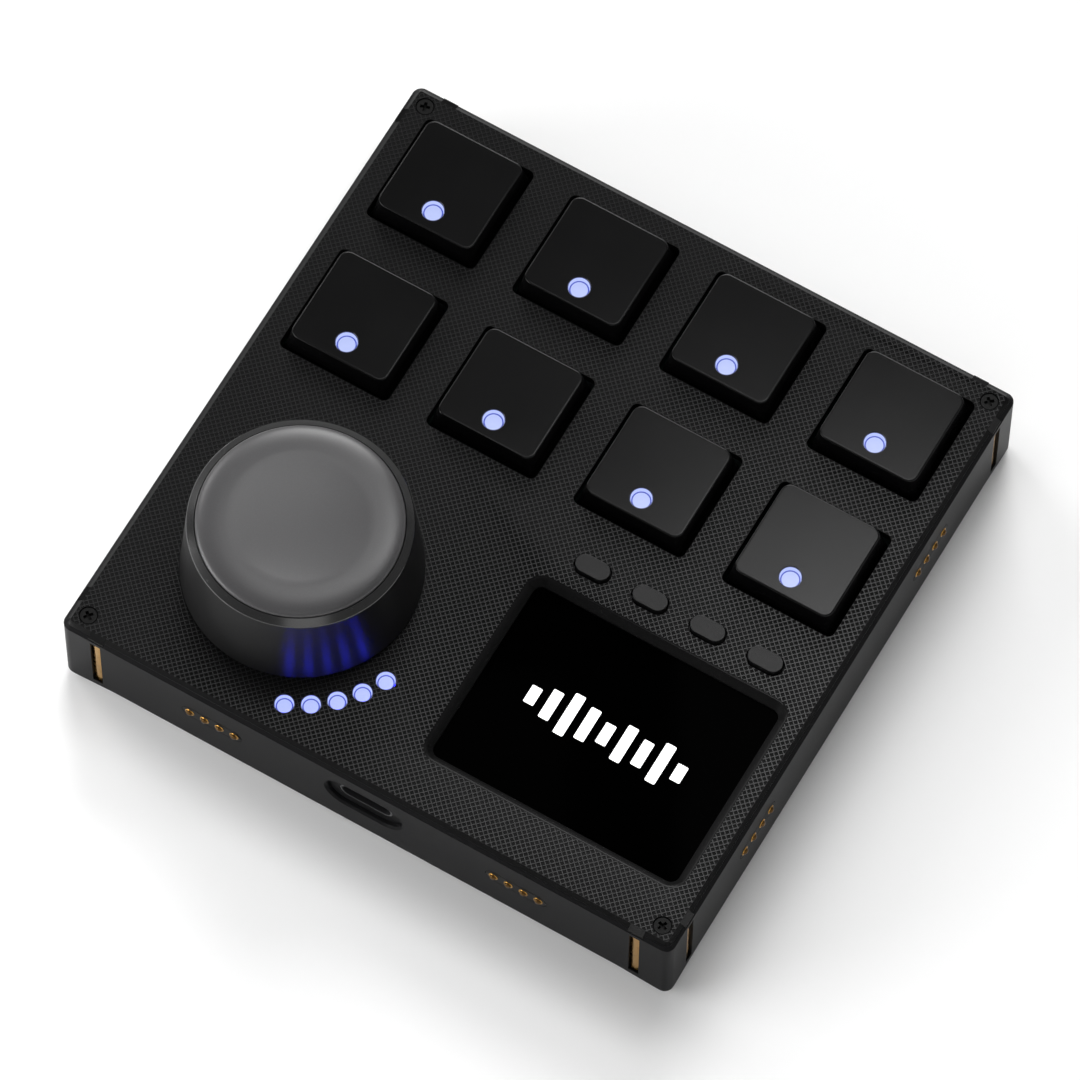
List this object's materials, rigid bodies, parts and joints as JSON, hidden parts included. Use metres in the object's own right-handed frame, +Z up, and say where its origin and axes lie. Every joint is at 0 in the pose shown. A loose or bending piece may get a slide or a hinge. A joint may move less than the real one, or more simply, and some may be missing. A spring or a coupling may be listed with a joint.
{
  "type": "macro keypad with knob",
  "caption": "Square desk keypad with lit hollow keys, a push-and-turn knob in an arc of lights, a small display with buttons, and docking contacts and magnets round its sides.",
  "frame": {"origin": "on the desk, under the centre of the square body", "axes": "+X to the right along the front side, +Y to the back, +Z up; the knob and the display are at the front (-Y), the keys at the back"},
  "size_m": [0.1045, 0.1045, 0.0352],
  "materials": {
    "case": "satin black moulding",
    "plate": "black with a fine diamond lattice",
    "keycap": "satin black",
    "light_window": "diffusing, pale periwinkle blue when lit",
    "dial_window": "diffusing, deep blue when lit",
    "switch": "moulded",
    "stem": "low-friction moulded",
    "knob_skirt": "polished near-black",
    "knob_cap": "grey satin",
    "glass": "black-backed cover glass",
    "panel": "dark display panel",
    "ribbon": "amber film",
    "board": "dark solder mask",
    "emitter": "white package",
    "button": "satin black",
    "steel": "drawn steel",
    "screw": "black oxide",
    "gold": "gold plated",
    "insert": "black insulator",
    "foot": "soft grip"
  },
  "bodies": {
    "root": {"lower_case": "case", "top_plate": "plate", "main_board": "board", "key_switch_housings": "switch", "encoder_body": "steel", "dial_lenses": "dial_window", "light_emitters": "emitter", "display_glass": "glass", "display_module": "panel", "display_ribbon": "ribbon", "button_switches": "switch", "contact_blocks": "insert", "contact_pads": "gold", "socket_shell": "steel", "socket_tongue": "insert", "top_screws": "screw", "board_screws": "steel", "rubber_feet": "foot"},
    "encoder_push": {"encoder_plunger": "steel"},
    "knob": {"encoder_shaft": "steel", "knob_skirt": "knob_skirt", "knob_cap": "knob_cap"},
    "front_pin_set": {"front_pins": "gold"},
    "right_pin_set": {"right_pins": "gold"},
    "key_1": {"keycap_1": "keycap", "key_stem_1": "stem", "key_lens_1": "light_window"},
    "key_2": {"keycap_2": "keycap", "key_stem_2": "stem", "key_lens_2": "light_window"},
    "key_3": {"keycap_3": "keycap", "key_stem_3": "stem", "key_lens_3": "light_window"},
    "key_4": {"keycap_4": "keycap", "key_stem_4": "stem", "key_lens_4": "light_window"},
    "key_5": {"keycap_5": "keycap", "key_stem_5": "stem", "key_lens_5": "light_window"},
    "key_6": {"keycap_6": "keycap", "key_stem_6": "stem", "key_lens_6": "light_window"},
    "key_7": {"keycap_7": "keycap", "key_stem_7": "stem", "key_lens_7": "light_window"},
    "key_8": {"keycap_8": "keycap", "key_stem_8": "stem", "key_lens_8": "light_window"},
    "button_1": {"soft_button_1": "button"},
    "button_2": {"soft_button_2": "button"},
    "button_3": {"soft_button_3": "button"},
    "button_4": {"soft_button_4": "button"},
    "magnet_rod_1": {"magnet_1": "gold"},
    "magnet_rod_2": {"magnet_2": "gold"},
    "magnet_rod_3": {"magnet_3": "gold"},
    "magnet_rod_4": {"magnet_4": "gold"},
    "magnet_rod_5": {"magnet_5": "gold"},
    "magnet_rod_6": {"magnet_6": "gold"},
    "magnet_rod_7": {"magnet_7": "gold"},
    "magnet_rod_8": {"magnet_8": "gold"}
  },
  "joints": [
    {"name": "key_1_press", "type": "slide", "parent": "root", "child": "key_1", "axis": [0, 0, -1], "range_m": [0, 0.0025], "stiffness_N_per_m": 100, "springref_m": -0.003},
    {"name": "key_2_press", "type": "slide", "parent": "root", "child": "key_2", "axis": [0, 0, -1], "range_m": [0, 0.0025], "stiffness_N_per_m": 100, "springref_m": -0.003},
    {"name": "key_3_press", "type": "slide", "parent": "root", "child": "key_3", "axis": [0, 0, -1], "range_m": [0, 0.0025], "stiffness_N_per_m": 100, "springref_m": -0.003},
    {"name": "key_4_press", "type": "slide", "parent": "root", "child": "key_4", "axis": [0, 0, -1], "range_m": [0, 0.0025], "stiffness_N_per_m": 100, "springref_m": -0.003},
    {"name": "key_5_press", "type": "slide", "parent": "root", "child": "key_5", "axis": [0, 0, -1], "range_m": [0, 0.0025], "stiffness_N_per_m": 100, "springref_m": -0.003},
    {"name": "key_6_press", "type": "slide", "parent": "root", "child": "key_6", "axis": [0, 0, -1], "range_m": [0, 0.0025], "stiffness_N_per_m": 100, "springref_m": -0.003},
    {"name": "key_7_press", "type": "slide", "parent": "root", "child": "key_7", "axis": [0, 0, -1], "range_m": [0, 0.0025], "stiffness_N_per_m": 100, "springref_m": -0.003},
    {"name": "key_8_press", "type": "slide", "parent": "root", "child": "key_8", "axis": [0, 0, -1], "range_m": [0, 0.0025], "stiffness_N_per_m": 100, "springref_m": -0.003},
    {"name": "button_1_press", "type": "slide", "parent": "root", "child": "button_1", "axis": [0, 0, -1], "range_m": [0, 0.0004], "stiffness_N_per_m": 3000, "springref_m": -0.0003},
    {"name": "button_2_press", "type": "slide", "parent": "root", "child": "button_2", "axis": [0, 0, -1], "range_m": [0, 0.0004], "stiffness_N_per_m": 3000, "springref_m": -0.0003},
    {"name": "button_3_press", "type": "slide", "parent": "root", "child": "button_3", "axis": [0, 0, -1], "range_m": [0, 0.0004], "stiffness_N_per_m": 3000, "springref_m": -0.0003},
    {"name": "button_4_press", "type": "slide", "parent": "root", "child": "button_4", "axis": [0, 0, -1], "range_m": [0, 0.0004], "stiffness_N_per_m": 3000, "springref_m": -0.0003},
    {"name": "encoder_press", "type": "slide", "parent": "root", "child": "encoder_push", "axis": [0, 0, -1], "range_m": [0, 0.0005], "stiffness_N_per_m": 4000, "springref_m": -0.0005},
    {"name": "knob_turn", "type": "hinge", "parent": "encoder_push", "child": "knob", "pos_m": [-0.0256, -0.0263, 0.0336], "axis": [0, 0, 1], "continuous": true},
    {"name": "magnet_1_turn", "type": "hinge", "parent": "root", "child": "magnet_rod_1", "pos_m": [-0.046, -0.05015, 0.009], "axis": [0, 0, 1], "continuous": true},
    {"name": "magnet_2_turn", "type": "hinge", "parent": "root", "child": "magnet_rod_2", "pos_m": [0.046, -0.05015, 0.009], "axis": [0, 0, 1], "continuous": true},
    {"name": "magnet_3_turn", "type": "hinge", "parent": "root", "child": "magnet_rod_3", "pos_m": [0.05015, -0.046, 0.009], "axis": [0, 0, 1], "continuous": true},
    {"name": "magnet_4_turn", "type": "hinge", "parent": "root", "child": "magnet_rod_4", "pos_m": [0.05015, 0.046, 0.009], "axis": [0, 0, 1], "continuous": true},
    {"name": "magnet_5_turn", "type": "hinge", "parent": "root", "child": "magnet_rod_5", "pos_m": [0.046, 0.05015, 0.009], "axis": [0, 0, 1], "continuous": true},
    {"name": "magnet_6_turn", "type": "hinge", "parent": "root", "child": "magnet_rod_6", "pos_m": [-0.046, 0.05015, 0.009], "axis": [0, 0, 1], "continuous": true},
    {"name": "magnet_7_turn", "type": "hinge", "parent": "root", "child": "magnet_rod_7", "pos_m": [-0.05015, 0.046, 0.009], "axis": [0, 0, 1], "continuous": true},
    {"name": "magnet_8_turn", "type": "hinge", "parent": "root", "child": "magnet_rod_8", "pos_m": [-0.05015, -0.046, 0.009], "axis": [0, 0, 1], "continuous": true},
    {"name": "front_pins_press", "type": "slide", "parent": "root", "child": "front_pin_set", "axis": [0, 1, 0], "range_m": [0, 0.0005], "stiffness_N_per_m": 3000, "springref_m": -0.0005},
    {"name": "right_pins_press", "type": "slide", "parent": "root", "child": "right_pin_set", "axis": [-1, 0, 0], "range_m": [0, 0.0005], "stiffness_N_per_m": 3000, "springref_m": -0.0005}
  ]
}
